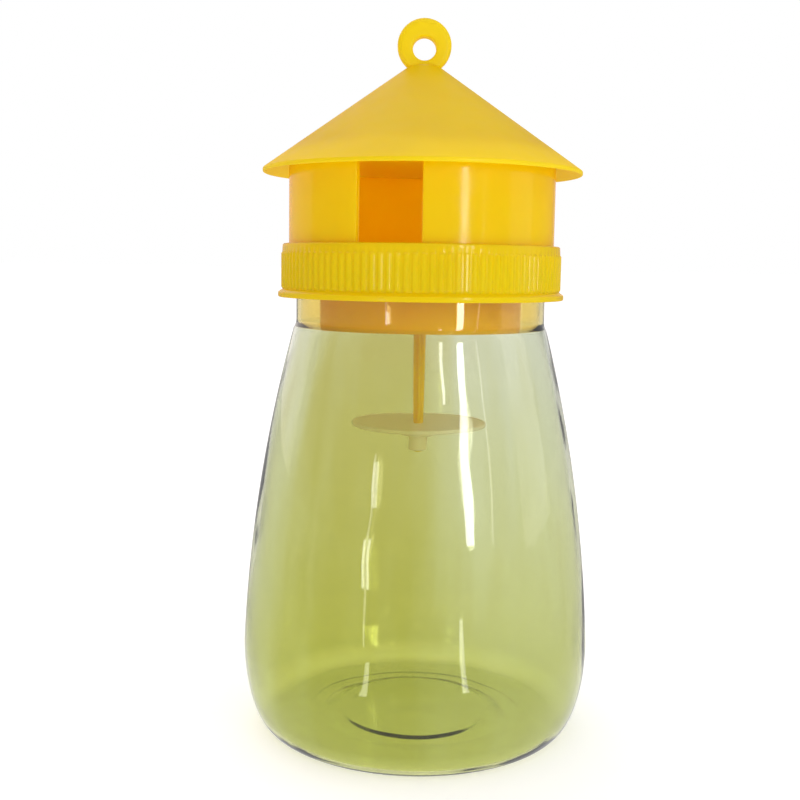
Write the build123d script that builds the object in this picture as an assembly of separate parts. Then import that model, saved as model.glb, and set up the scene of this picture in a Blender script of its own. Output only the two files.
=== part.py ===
from build123d import *
import os
from math import cos, pi, radians, sin, tan

# Wasp trap: a clear bottle with a screw cap shaped like a small round house. Wasps enter through
# the windows under the roof and drop through the funnel, past the lure disc, into the bottle.
# Millimetres, +Z up, the bottle stands on z = 0 and its axis is the Z axis.

# Bottle
BASE_R = 38.5            # outer edge of the standing ring
FOOT_R = 31.0            # inner edge of the standing ring
RECESS_R = 25.0          # edge of the raised panel under the foot
RECESS_H = 3.2           # height of that panel's edge
RECESS_CROWN = 0.9       # how much its middle is higher still
WIDEST_R = 46.2
WIDEST_Z = 22.5
MIDDLE_R = 42.3
MIDDLE_Z = 62.8
SHOULDER_R = 33.3        # the crease where the body meets the neck
SHOULDER_Z = 106.3
NECK_R = 32.6
NECK_FOOT_Z = 107.8
RIM_Z = 125.1
BOTTLE_WALL = 1.0
NECK_WALL = 1.3

# Screw thread, right-handed, one start
THREAD_LEAD = 4.0
NECK_THREAD_Z = 116.4
NECK_THREAD_TURNS = 1.4
NECK_THREAD_TIP_R = 33.9
CAP_THREAD_TURNS = 1.1
CAP_THREAD_START = 0.4   # turns, where the collar's ridge begins
CAP_THREAD_TIP_R = 33.1
THREAD_ROOT_WIDTH = 2.0
THREAD_TIP_WIDTH = 1.0
THREAD_EMBED = 0.3       # how far a ridge reaches into the wall that carries it

# Cap: ribbed collar, deck and house wall
COLLAR_Z = 114.3
COLLAR_TOP_Z = 128.1
COLLAR_R = 36.25
COLLAR_BORE_R = 34.9
COLLAR_CHAMFER = 0.6
LIP_R = 37.4
LIP_H = 1.3
LIP_FLARE_H = 0.8
RIB_COUNT = 111
RIB_R = 36.6
RIB_WIDTH = 1.1
RIB_CHAMFER = 0.3
RIB_EMBED = 0.4          # how far a rib reaches into the collar's wall
RIB_LOW_Z = 116.8
RIB_TOP_Z = 125.6
DECK_T = 1.6
DECK_HOLE_R = 27.8
HOUSE_R = 34.6
HOUSE_WALL = 1.8
HOUSE_TOP_Z = 150.4
WINDOW_COUNT = 3
WINDOW_ANGLE = 26.8      # degrees of wall that each window takes away
WINDOW_CENTRE = -14.1    # degrees, first window's middle, from -Y towards +X

# Roof and hanging loop
EAVE_R = 41.4
EAVE_Z = 145.9
EAVE_EDGE_H = 1.3
ROOF_SLOPE = 35.3        # degrees above the horizontal
APEX_R = 5.5             # flat at the top of the cone, under the loop
APEX_T = 2.2
PAD_SHOULDER_R = 4.2     # pad under the loop: where its sides begin to rise
PAD_SHOULDER_H = 0.35
PAD_TOP_R = 3.4
PAD_EMBED = 0.5          # how far it reaches into the cone
SPIGOT_R = 32.6
SPIGOT_WALL = 1.6
SPIGOT_Z = 147.6
LOOP_R = 6.95
LOOP_Z = 178.9
LOOP_T = 4.4
LOOP_EDGE_R = 1.5
HOLE_R = 3.0
HOLE_Z = 178.1
HOLE_EDGE_R = 0.5

# Funnel insert
FLANGE_R = 32.6
FLANGE_Z = 125.3
FLANGE_T = 1.1
LOCATING_R = 27.6
SEAT_R = 26.2            # step that the rod bridge drops into
SEAT_Z = 126.2
SKIRT_R = 26.4
SKIRT_WALL = 1.2
SKIRT_Z = 106.4
MOUTH_R = 24.4
THROAT_R = 9.0
THROAT_TOP_Z = 112.5
THROAT_Z = 108.4
FUNNEL_WALL = 1.2

# Rod bridge
BRIDGE_CLEARANCE = 0.15
BRIDGE_TOP_Z = 127.9
BRIDGE_RING_W = 1.6
ARM_COUNT = 3
ARM_START = 30           # degrees, the first arm's direction from +X
ARM_END_GAP = 0.8        # between an arm's sloping end and the funnel
ARM_EMBED = 0.4          # how far an arm reaches into the ring
ARM_WIDTH = 2.6
ARM_H = 2.4
HUB_R = 3.8
HUB_Z = 123.6
HUB_TOP_Z = 127.4
HUB_BORE_R = 1.95

# Lure rod, disc and clip
ROD_HEAD_R = 3.2
ROD_HEAD_T = 0.8
ROD_TOP_W = 3.7
ROD_END_W = 2.8
ROD_BLADE_T = 1.1
ROD_SHOULDER_Z = 81.3
PIN_R = 1.2
PIN_Z = 73.4
PIN_CHAMFER = 0.4
PIN_EMBED = 2.0          # how far the pin reaches up between the blades
DISC_R = 17.8
DISC_Z = 80.3
DISC_T = 0.8
DISC_RIM_H = 1.1
DISC_RIM_W = 0.8
DISC_HUB_R = 4.5
DISC_HUB_Z = 77.8
DISC_BORE_CLEARANCE = 0.1
CLIP_R = 2.65
CLIP_TOP_Z = 77.7
CLIP_Z = 73.9
CLIP_BORE_CLEARANCE = 0.02


def roof_top_z(radius):
    """Height of the roof's upper surface at a radius."""
    return EAVE_Z + EAVE_EDGE_H + (EAVE_R - radius) * tan(radians(ROOF_SLOPE))


def half_section(*edges):
    """Closed face in the XZ plane, from edges drawn as (radius, height)."""
    return Plane.XZ * make_face(Curve() + list(edges))


def turned(points):
    """Solid of revolution from a list of (radius, height) corners."""
    return revolve(half_section(Polyline(*points, close=True)), Axis.Z)


def bottle_skin(inset, neck_inset, top_z):
    """The space inside the bottle's outer surface, drawn in by a wall thickness."""
    recess_z = RECESS_H + inset
    crown = (0.0, recess_z + RECESS_CROWN)
    recess_edge = (RECESS_R, recess_z)
    foot = (FOOT_R, inset)
    base = (BASE_R, inset)
    widest = (WIDEST_R - inset, WIDEST_Z)
    middle = (MIDDLE_R - inset, MIDDLE_Z)
    shoulder = (SHOULDER_R - inset, SHOULDER_Z)
    neck_foot = (NECK_R - neck_inset, NECK_FOOT_Z)
    neck_top = (NECK_R - neck_inset, top_z)
    corner = EllipticalCenterArc(
        (BASE_R, WIDEST_Z), WIDEST_R - BASE_R - inset, WIDEST_Z - inset, start_angle=-90, arc_size=90)
    section = half_section(
        Polyline(crown, recess_edge, foot, base),
        corner,
        ThreePointArc(widest, middle, shoulder),
        Polyline(shoulder, neck_foot, neck_top, (0.0, top_z), crown),
    )
    return revolve(section, Axis.Z)


def thread_ridge(wall_r, tip_r, start_z, turns):
    """Helical ridge that stands out of (or into) a round wall."""
    inward = tip_r < wall_r
    root_r = wall_r + THREAD_EMBED if inward else wall_r - THREAD_EMBED
    path = Pos(0, 0, start_z) * Helix(THREAD_LEAD, THREAD_LEAD * turns, wall_r)
    profile_plane = Plane(origin=path @ 0, x_dir=(1, 0, 0), z_dir=path % 0)
    root_half = THREAD_ROOT_WIDTH / 2
    tip_half = THREAD_TIP_WIDTH / 2
    corners = [
        (root_r - wall_r, -root_half),
        (tip_r - wall_r, -tip_half),
        (tip_r - wall_r, tip_half),
        (root_r - wall_r, root_half),
    ]
    profile = profile_plane * make_face(Polyline(*corners, close=True))
    return sweep(profile, path=path, is_frenet=True)


def make_bottle():
    outer = bottle_skin(0.0, 0.0, RIM_Z)
    inner = bottle_skin(BOTTLE_WALL, NECK_WALL, RIM_Z + 1.0)
    ridge = thread_ridge(NECK_R, NECK_THREAD_TIP_R, NECK_THREAD_Z, NECK_THREAD_TURNS)
    return outer - inner + ridge


def window_cutter(centre_angle):
    """Wedge that takes one window out of the house wall, up to its open top."""
    reach = 1.2 * HOUSE_R
    half = radians(WINDOW_ANGLE / 2)
    corners = [(0.0, 0.0), (-reach * sin(half), -reach * cos(half)), (reach * sin(half), -reach * cos(half))]
    wedge = extrude(make_face(Polyline(*corners, close=True)), HOUSE_TOP_Z)
    return Rot(0, 0, centre_angle) * Pos(0, 0, COLLAR_TOP_Z) * wedge


def rib_ring():
    """Vertical grip ribs, evenly spaced round the collar."""
    depth = RIB_R - COLLAR_R + RIB_EMBED
    rib = extrude(Rectangle(depth, RIB_WIDTH), RIB_TOP_Z - RIB_LOW_Z)
    outer_edges = rib.edges().filter_by(Axis.Z).group_by(Axis.X)[-1]
    rib = chamfer(outer_edges, RIB_CHAMFER)
    rib = Pos(RIB_R - depth / 2, 0, RIB_LOW_Z) * rib
    return [Rot(0, 0, 360 * index / RIB_COUNT) * rib for index in range(RIB_COUNT)]


def make_cap_body():
    deck_z = COLLAR_TOP_Z - DECK_T
    house_bore_r = HOUSE_R - HOUSE_WALL
    shell = turned([
        (COLLAR_BORE_R, COLLAR_Z),
        (LIP_R, COLLAR_Z),
        (LIP_R, COLLAR_Z + LIP_H),
        (COLLAR_R, COLLAR_Z + LIP_H + LIP_FLARE_H),
        (COLLAR_R, COLLAR_TOP_Z - COLLAR_CHAMFER),
        (COLLAR_R - COLLAR_CHAMFER, COLLAR_TOP_Z),
        (HOUSE_R, COLLAR_TOP_Z),
        (HOUSE_R, HOUSE_TOP_Z),
        (house_bore_r, HOUSE_TOP_Z),
        (house_bore_r, COLLAR_TOP_Z),
        (DECK_HOLE_R, COLLAR_TOP_Z),
        (DECK_HOLE_R, deck_z),
        (COLLAR_BORE_R, deck_z),
    ])
    # The collar's ridge runs midway between the turns of the neck's ridge.
    ridge_z = NECK_THREAD_Z + THREAD_LEAD * (CAP_THREAD_START - 0.5)
    ridge = thread_ridge(COLLAR_BORE_R, CAP_THREAD_TIP_R, ridge_z, CAP_THREAD_TURNS)
    ridge = Rot(0, 0, 360 * CAP_THREAD_START) * ridge
    cap = shell + rib_ring() + ridge
    for index in range(WINDOW_COUNT):
        cap = cap - window_cutter(WINDOW_CENTRE + 360 * index / WINDOW_COUNT)
    return cap


def make_loop():
    """Hanging ring: a rounded plate with its hole a little below its middle."""
    plate = extrude(Plane.XZ * Circle(LOOP_R), LOOP_T / 2, both=True)
    plate = fillet(plate.edges(), LOOP_EDGE_R)
    plate = Pos(0, 0, LOOP_Z) * plate
    bore = extrude(Plane.XZ * Circle(HOLE_R), LOOP_T, both=True)
    plate = plate - Pos(0, 0, HOLE_Z) * bore
    rims = [edge for edge in plate.edges().filter_by(GeomType.CIRCLE) if abs(edge.radius - HOLE_R) < 1e-3]
    return fillet(rims, HOLE_EDGE_R)


def make_roof():
    apex_z = roof_top_z(APEX_R)
    under = -EAVE_EDGE_H
    spigot_inner_r = SPIGOT_R - SPIGOT_WALL
    cavity_top_z = apex_z - APEX_T
    cavity_top_r = APEX_R + (roof_top_z(APEX_R) + under - cavity_top_z) / tan(radians(ROOF_SLOPE))
    cone = turned([
        (0.0, apex_z),
        (APEX_R, apex_z),
        (EAVE_R, EAVE_Z + EAVE_EDGE_H),
        (EAVE_R, EAVE_Z),
        (SPIGOT_R, roof_top_z(SPIGOT_R) + under),
        (SPIGOT_R, SPIGOT_Z),
        (spigot_inner_r, SPIGOT_Z),
        (spigot_inner_r, roof_top_z(spigot_inner_r) + under),
        (cavity_top_r, cavity_top_z),
        (0.0, cavity_top_z),
    ])
    # Pad that blends the loop into the cone's blunt apex.
    pad_top_z = HOLE_Z - HOLE_R - HOLE_EDGE_R
    pad = turned([
        (0.0, apex_z - PAD_EMBED),
        (PAD_SHOULDER_R, apex_z - PAD_EMBED),
        (PAD_SHOULDER_R, apex_z + PAD_SHOULDER_H),
        (PAD_TOP_R, pad_top_z),
        (0.0, pad_top_z),
    ])
    return cone + pad + make_loop()


def make_funnel_insert():
    flange_top_z = FLANGE_Z + FLANGE_T
    skirt_bore_r = SKIRT_R - SKIRT_WALL
    slope = (MOUTH_R - THROAT_R) / (SEAT_Z - THROAT_TOP_Z)
    throat_outer_r = THROAT_R + FUNNEL_WALL
    cone_drop = FUNNEL_WALL * (1 + slope * slope) ** 0.5 / slope
    # Where the funnel's underside meets the skirt's bore, and the throat's outside.
    join_z = THROAT_TOP_Z - cone_drop + (skirt_bore_r - THROAT_R) / slope
    throat_join_z = THROAT_TOP_Z - cone_drop + (throat_outer_r - THROAT_R) / slope
    return turned([
        (SKIRT_R, SKIRT_Z),
        (SKIRT_R, FLANGE_Z),
        (FLANGE_R, FLANGE_Z),
        (FLANGE_R, flange_top_z),
        (LOCATING_R, flange_top_z),
        (LOCATING_R, COLLAR_TOP_Z),
        (SEAT_R, COLLAR_TOP_Z),
        (SEAT_R, SEAT_Z),
        (MOUTH_R, SEAT_Z),
        (THROAT_R, THROAT_TOP_Z),
        (THROAT_R, THROAT_Z),
        (throat_outer_r, THROAT_Z),
        (throat_outer_r, throat_join_z),
        (skirt_bore_r, join_z),
        (skirt_bore_r, SKIRT_Z),
    ])


def make_rod_bridge():
    ring_r = SEAT_R - BRIDGE_CLEARANCE
    ring_z = SEAT_Z + BRIDGE_CLEARANCE
    ring_inner_r = ring_r - BRIDGE_RING_W
    ring = turned([
        (ring_inner_r, ring_z),
        (ring_r, ring_z),
        (ring_r, BRIDGE_TOP_Z),
        (ring_inner_r, BRIDGE_TOP_Z),
    ])
    hub = turned([(0.0, HUB_Z), (HUB_R, HUB_Z), (HUB_R, HUB_TOP_Z), (0.0, HUB_TOP_Z)])
    bridge = ring + hub
    # The arm's outer end is cut off sloping, clear of the funnel's own slope.
    arm_low_z = HUB_TOP_Z - ARM_H
    funnel_slope = (SEAT_Z - THROAT_TOP_Z) / (MOUTH_R - THROAT_R)
    low_end_r = MOUTH_R - (SEAT_Z - arm_low_z) / funnel_slope - ARM_END_GAP
    arm_outline = [
        (HUB_BORE_R, arm_low_z),
        (low_end_r, arm_low_z),
        (MOUTH_R - ARM_END_GAP / 2, ring_z),
        (ring_inner_r + ARM_EMBED, ring_z),
        (ring_inner_r + ARM_EMBED, HUB_TOP_Z),
        (HUB_BORE_R, HUB_TOP_Z),
    ]
    arm = extrude(Plane.XZ * make_face(Polyline(*arm_outline, close=True)), ARM_WIDTH / 2, both=True)
    for index in range(ARM_COUNT):
        bridge = bridge + Rot(0, 0, ARM_START + 360 * index / ARM_COUNT) * arm
    bore = Pos(0, 0, HUB_Z) * extrude(Circle(HUB_BORE_R), HUB_TOP_Z - HUB_Z)
    return bridge - bore


def make_lure_rod():
    blade_top_z = HUB_TOP_Z + ROD_HEAD_T / 2
    blade_outline = [
        (-ROD_END_W / 2, ROD_SHOULDER_Z),
        (ROD_END_W / 2, ROD_SHOULDER_Z),
        (ROD_TOP_W / 2, blade_top_z),
        (-ROD_TOP_W / 2, blade_top_z),
    ]
    blade = extrude(Plane.XZ * make_face(Polyline(*blade_outline, close=True)), ROD_BLADE_T / 2, both=True)
    head = Pos(0, 0, HUB_TOP_Z) * extrude(Circle(ROD_HEAD_R), ROD_HEAD_T)
    pin = Pos(0, 0, PIN_Z) * extrude(Circle(PIN_R), ROD_SHOULDER_Z - PIN_Z + PIN_EMBED)
    pin = chamfer(pin.edges().group_by(Axis.Z)[0], PIN_CHAMFER)
    return blade + Rot(0, 0, 90) * blade + head + pin


def make_lure_disc():
    bore_r = PIN_R + DISC_BORE_CLEARANCE
    plate_top_z = DISC_Z + DISC_T
    return turned([
        (bore_r, DISC_HUB_Z),
        (DISC_HUB_R, DISC_HUB_Z),
        (DISC_HUB_R, DISC_Z),
        (DISC_R, DISC_Z),
        (DISC_R, DISC_Z + DISC_RIM_H),
        (DISC_R - DISC_RIM_W, DISC_Z + DISC_RIM_H),
        (DISC_R - DISC_RIM_W, plate_top_z),
        (bore_r, plate_top_z),
    ])


def make_disc_clip():
    bore_r = PIN_R + CLIP_BORE_CLEARANCE
    return turned([
        (bore_r, CLIP_Z),
        (CLIP_R, CLIP_Z),
        (CLIP_R, CLIP_TOP_Z),
        (bore_r, CLIP_TOP_Z),
    ])


PARTS = {
    "bottle": make_bottle,
    "cap_body": make_cap_body,
    "roof": make_roof,
    "funnel_insert": make_funnel_insert,
    "rod_bridge": make_rod_bridge,
    "lure_rod": make_lure_rod,
    "lure_disc": make_lure_disc,
    "disc_clip": make_disc_clip,
}

os.makedirs("parts", exist_ok=True)
for name, make in PARTS.items():
    solid = make()
    export_step(solid, f"parts/{name}.step")
    print(name, round(solid.volume, 2), len(solid.solids()), solid.is_valid)
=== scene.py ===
from math import atan2, cos, exp, hypot, pi, radians, sin, tan

import bpy
from mathutils import Matrix, Vector, noise


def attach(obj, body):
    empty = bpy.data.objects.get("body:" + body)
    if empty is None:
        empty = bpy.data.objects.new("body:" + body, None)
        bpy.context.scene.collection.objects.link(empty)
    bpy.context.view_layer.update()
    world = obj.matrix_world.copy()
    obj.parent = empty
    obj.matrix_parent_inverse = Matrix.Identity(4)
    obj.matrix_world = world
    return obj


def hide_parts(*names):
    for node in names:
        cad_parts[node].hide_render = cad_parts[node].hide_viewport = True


# Wasp trap: a clear, faintly green bottle under a yellow screw cap shaped like a round house.
# Lengths are millimetres, +Z up, with the trap's axis on Z. Meshes are scaled to metres once, in
# mesh_object(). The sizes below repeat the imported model's, with the small radii moulding leaves.
MM = 0.001

# Bottle
BASE_R = 38.5
FOOT_R = 31.0
PUNT_R = 22.5            # middle of the step round the foot's raised middle
PUNT_STEP_W = 2.4
PUNT_STEP_H = 1.7
PUNT_H = 1.8
PUNT_SPREAD = 1.8        # how much gentler the step is away from its crisp front
PUNT_REACH = 4.0
PUNT_FADE = 1.6          # how soon, going round, the step turns gentle
HEIGHT_SLACK = 0.1
WIDEST_R = 46.2
WIDEST_Z = 22.5
MIDDLE_R = 42.3
MIDDLE_Z = 62.8
SHOULDER_R = 33.3
SHOULDER_Z = 106.3
NECK_R = 32.6
NECK_FOOT_Z = 107.8
RIM_Z = 125.1
BOTTLE_WALL = 1.0
NECK_WALL = 1.3
FOOT_WALL = 1.3          # blown bottles are thicker where they stand
WALL_WAVE = 0.16         # how unevenly the wall has blown, on the inside
WAVE_ACROSS = 1.6        # the waves are long upright ones: features per turn and per millimetre
WAVE_UP = 0.018
WAVE_SCALE = 1.9
WAVE_FADE_H = 20.0
NECK_BLEND_H = 0.7       # from the neck's foot, where the shoulder has run out
NECK_START_H = 0.9
NECK_END_H = 1.4

# Rows and sides of the bottle's mesh
BOTTLE_SIDES = 256
FOOT_ROWS = 16
CORNER_ROWS = 36
SIDE_ROWS = 56
NECK_FOOT_ROWS = 8
NECK_ROWS = 30
RIM_ROWS = 8

# Screw thread on the neck
THREAD_LEAD = 4.0
THREAD_Z = 116.4
THREAD_TURNS = 1.4
THREAD_START = 0.25      # turns from the front to where it begins
THREAD_TIP_R = 33.9
THREAD_HALF_H = 1.0
THREAD_CREST = 1.75      # the ridge is flat while crest - flank * distance is over 1
THREAD_FLANK = 1.5
THREAD_RUNOUT = 0.08     # turns over which a ridge dies away

# Cap: collar, deck and house wall
COLLAR_Z = 114.3
COLLAR_TOP_Z = 128.1
COLLAR_R = 36.25
COLLAR_BORE_R = 34.9
LIP_R = 37.4
LIP_H = 1.3
LIP_FLARE_H = 0.8
RIB_COUNT = 111
RIB_R = 36.6
RIB_LOW_Z = 116.8
RIB_TOP_Z = 125.6
RIB_STEPS = 8            # mesh columns in each rib and its gap
RIB_ROWS = 24
RIB_ROW_REACH = 0.3      # how far the rows go past a rib's ends
RIB_END_H = 0.4          # how far a rib's ends reach, and the height over which they rise
RIB_END_RISE = 0.5
RIB_STEEPNESS = 2.2
RIB_GAP = 0.5
RADIUS_SLACK = 0.05
DECK_T = 1.6
DECK_HOLE_R = 27.8
HOUSE_R = 34.6
HOUSE_WALL = 1.8
HOUSE_TOP_Z = 150.4
WALL_FILLET = 0.35
WALL_TOP_FILLET = 0.4
WALL_SUNK = 0.5          # how deep the wall's foot is sunk in the deck
WALL_ROWS = 9
WALL_ROWS_SHORT = 0.2
WALL_TOP_ROWS = 4
WALL_ARC_STEPS = 40
WALL_CORNER_STEPS = 4
WINDOW_COUNT = 3
WINDOW_ANGLE = 26.8
WINDOW_CENTRE = -14.1    # degrees from the front, towards +X

# Roof and hanging loop
EAVE_R = 41.4
EAVE_Z = 145.9
EAVE_EDGE_H = 1.3
ROOF_SLOPE = 35.3
SPIGOT_R = 32.6
SPIGOT_WALL = 1.6
SPIGOT_Z = 147.6
LOOP_R = 6.95
LOOP_Z = 178.9
LOOP_T = 4.4
HOLE_R = 3.0
HOLE_Z = 178.1
HOLE_GAP = 0.02
TIP_R = 3.6              # where the cone's slope rounds over under the loop
SLOPE_MARGIN = 1.6       # from the eave's edge to the slope's first row
SLOPE_ROWS = 18

# Funnel insert
FLANGE_R = 32.6
FLANGE_Z = 125.3
FLANGE_T = 1.1
LOCATING_R = 27.6
SEAT_R = 26.2
SEAT_Z = 126.2
SKIRT_R = 26.4
SKIRT_WALL = 1.2
SKIRT_Z = 106.4
MOUTH_R = 24.4
THROAT_R = 9.0
THROAT_TOP_Z = 112.5
THROAT_Z = 108.4
FUNNEL_WALL = 1.2

# Rod bridge, lure rod, disc and clip
BRIDGE_CLEARANCE = 0.15
BRIDGE_TOP_Z = 127.9
BRIDGE_RING_W = 1.6
ARM_COUNT = 3
ARM_START = 30.0
ARM_WIDTH = 2.6
ARM_H = 2.4
ARM_END_GAP = 0.8        # between an arm's lower end and the funnel's cone
ARM_SUNK_HUB = 0.5
ARM_SUNK_RING = 0.4
HUB_R = 3.8
HUB_Z = 123.6
HUB_TOP_Z = 127.4
HUB_BORE_R = 1.95
ROD_HEAD_R = 3.2
ROD_HEAD_T = 0.8
ROD_TOP_W = 3.7
ROD_END_W = 2.8
ROD_BLADE_T = 1.1
ROD_ROWS = 24
ROD_TIP_LENGTH = 0.3     # of half the blade: how rounded a blade's tip is
ROD_TIP_WIDTH = 0.7
ROD_SHOULDER_Z = 81.3
PIN_R = 1.2
PIN_Z = 73.4
PIN_SUNK = 1.0
DISC_R = 17.8
DISC_Z = 80.3
DISC_T = 0.8
DISC_RIM_H = 1.1
DISC_RIM_W = 0.8
DISC_HUB_R = 4.5
DISC_HUB_Z = 77.8
CLIP_R = 2.65
CLIP_TOP_Z = 77.7
CLIP_Z = 73.9
DISC_GAP = 0.1           # round the pin
CLIP_GAP = 0.02

# Small radius on the bridge's edges
EDGE_RADIUS = 0.2
EDGE_STEPS = 2
EDGE_FROM_ANGLE = 35.0

# Edges sharper than this stay sharp in the shading
SHARP_ANGLE = 40.0
BOTTLE_SHARP_ANGLE = 60.0
CAP_SHARP_ANGLE = 28.0

# Camera, in the trap's frame
CAMERA_AT = (-4.975, -300.0, 123.0)
CAMERA_PITCH = 6.831     # degrees below the horizontal
CAMERA_ROLL = 0.846
CAMERA_LENS = 50.87

# Studio: radiance of the surroundings, where 1 is the white behind the trap
FRONT_RADIANCE = 0.37
FLOOR_MIRRORED = 0.40    # the floor in plain reflections, away from the trap
FLOOR_NEAR = 0.8         # and close to its foot
OVERHEAD_RADIANCE = 0.88
REAR_LIGHT_GAIN = 0.65
REAR_LIGHT_FROM = -106.0  # degrees from the front, where the bright left rear begins
WARM_SIDE = (1.02, 0.90, 0.82, 1.0)
FLOOR_Z = -0.05          # just under the foot, which stands on it
FLOOR_NEAR_R = 400.0
FLOOR_R = 30000.0
NEAR_FROM = 60.0         # from the trap's axis, where the mirrored floor starts to dim
NEAR_TO = 130.0
TRANSLUCENCE = 0.55      # share of the light that coloured plastic scatters through


# ---------------------------------------------------------------- meshes

def mesh_object(name, points, faces, sharp_angle=SHARP_ANGLE):
    """Smooth-shaded mesh object from points in millimetres."""
    mesh = bpy.data.meshes.new(name)
    mesh.from_pydata([Vector(point) * MM for point in points], [], faces)
    mesh.validate()
    for polygon in mesh.polygons:
        polygon.use_smooth = True
    mesh.set_sharp_from_angle(angle=radians(sharp_angle))
    made = bpy.data.objects.new(name, mesh)
    bpy.context.scene.collection.objects.link(made)
    return made


def rounded(corners, closed=True, steps=5):
    """Outline through (radius, height, fillet) corners, each rounded by its fillet radius."""
    outline = []
    count = len(corners)
    for index, (r, z, fillet) in enumerate(corners):
        here = Vector((r, z))
        is_end = not closed and index in (0, count - 1)
        if fillet == 0 or is_end:
            outline.append((r, z))
            continue
        before = Vector(corners[index - 1][:2]) - here
        after = Vector(corners[(index + 1) % count][:2]) - here
        half_angle = before.angle(after) / 2
        reach = min(fillet / tan(half_angle), 0.48 * before.length, 0.48 * after.length)
        radius = reach * tan(half_angle)
        inward = (before.normalized() + after.normalized()).normalized()
        centre = here + inward * (radius / sin(half_angle))
        start = here + before.normalized() * reach - centre
        end = here + after.normalized() * reach - centre
        sweep = start.angle_signed(end)
        for step in range(steps + 1):
            turn = Matrix.Rotation(-sweep * step / steps, 2)
            outline.append(tuple(centre + turn @ start))
    return outline


def lathe_mesh(profile, sides, closed=True, radius_at=None):
    """Points and faces of a surface of revolution. A profile point on the axis becomes one point."""
    points = []
    rings = []
    for r, z in profile:
        if r < 1e-6:
            rings.append([len(points)] * sides)
            points.append((0.0, 0.0, z))
            continue
        ring = []
        for side in range(sides):
            angle = 2 * pi * side / sides
            radius = radius_at(r, z, angle) if radius_at else r
            ring.append(len(points))
            points.append((radius * sin(angle), -radius * cos(angle), z))
        rings.append(ring)
    faces = []
    last = len(rings) if closed else len(rings) - 1
    for index in range(last):
        low = rings[index]
        high = rings[(index + 1) % len(rings)]
        for side in range(sides):
            across = (side + 1) % sides
            corners = [low[side], low[across], high[across], high[side]]
            face = list(dict.fromkeys(corners))
            if len(face) > 2:
                faces.append(face)
    return points, faces


def lathe(name, profile, sides=128, closed=True, radius_at=None, sharp_angle=SHARP_ANGLE):
    """Object turned about the trap's axis from a profile."""
    points, faces = lathe_mesh(profile, sides, closed, radius_at)
    return mesh_object(name, points, faces, sharp_angle)


def loft(name, loops, sharp_angle=SHARP_ANGLE):
    """Closed solid through loops of points, each loop with the same number of points."""
    points = [point for loop in loops for point in loop]
    size = len(loops[0])
    faces = []
    for index in range(len(loops) - 1):
        low = index * size
        high = low + size
        for step in range(size):
            across = (step + 1) % size
            faces.append([low + step, low + across, high + across, high + step])
    faces.append(list(range(size))[::-1])
    faces.append(list(range((len(loops) - 1) * size, len(loops) * size)))
    return mesh_object(name, points, faces, sharp_angle)


def apply_modifiers(made):
    """Keeps the mesh as its modifiers leave it, and drops them."""
    graph = bpy.context.evaluated_depsgraph_get()
    mesh = bpy.data.meshes.new_from_object(made.evaluated_get(graph))
    made.modifiers.clear()
    made.data = mesh
    return made


def united(base, others, sharp_angle=SHARP_ANGLE):
    """Fuses other solids into base."""
    for other in others:
        join = base.modifiers.new("union", "BOOLEAN")
        join.operation = "UNION"
        join.solver = "EXACT"
        join.object = other
    bpy.context.view_layer.update()
    apply_modifiers(base)
    for other in others:
        bpy.data.objects.remove(other)
    for polygon in base.data.polygons:
        polygon.use_smooth = True
    base.data.set_sharp_from_angle(angle=radians(sharp_angle))
    return base


def softened(made):
    """Small radius on every sharp edge."""
    bevel = made.modifiers.new("edge radius", "BEVEL")
    bevel.width = EDGE_RADIUS * MM
    bevel.segments = EDGE_STEPS
    bevel.limit_method = "ANGLE"
    bevel.angle_limit = radians(EDGE_FROM_ANGLE)
    bevel.harden_normals = False
    return made


# ---------------------------------------------------------------- pieces

def arc_through(first, middle, last, steps):
    """Points of the arc through three (radius, height) points, both ends included."""
    (ax, ay), (bx, by), (cx, cy) = first, middle, last
    d = 2 * (ax * (by - cy) + bx * (cy - ay) + cx * (ay - by))
    ux = ((ax**2 + ay**2) * (by - cy) + (bx**2 + by**2) * (cy - ay) + (cx**2 + cy**2) * (ay - by)) / d
    uy = ((ax**2 + ay**2) * (cx - bx) + (bx**2 + by**2) * (ax - cx) + (cx**2 + cy**2) * (bx - ax)) / d
    radius = hypot(ax - ux, ay - uy)
    start = atan2(ay - uy, ax - ux)
    end = atan2(cy - uy, cx - ux)
    angles = [start + (end - start) * step / steps for step in range(steps + 1)]
    return [(ux + radius * cos(angle), uy + radius * sin(angle)) for angle in angles]


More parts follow.
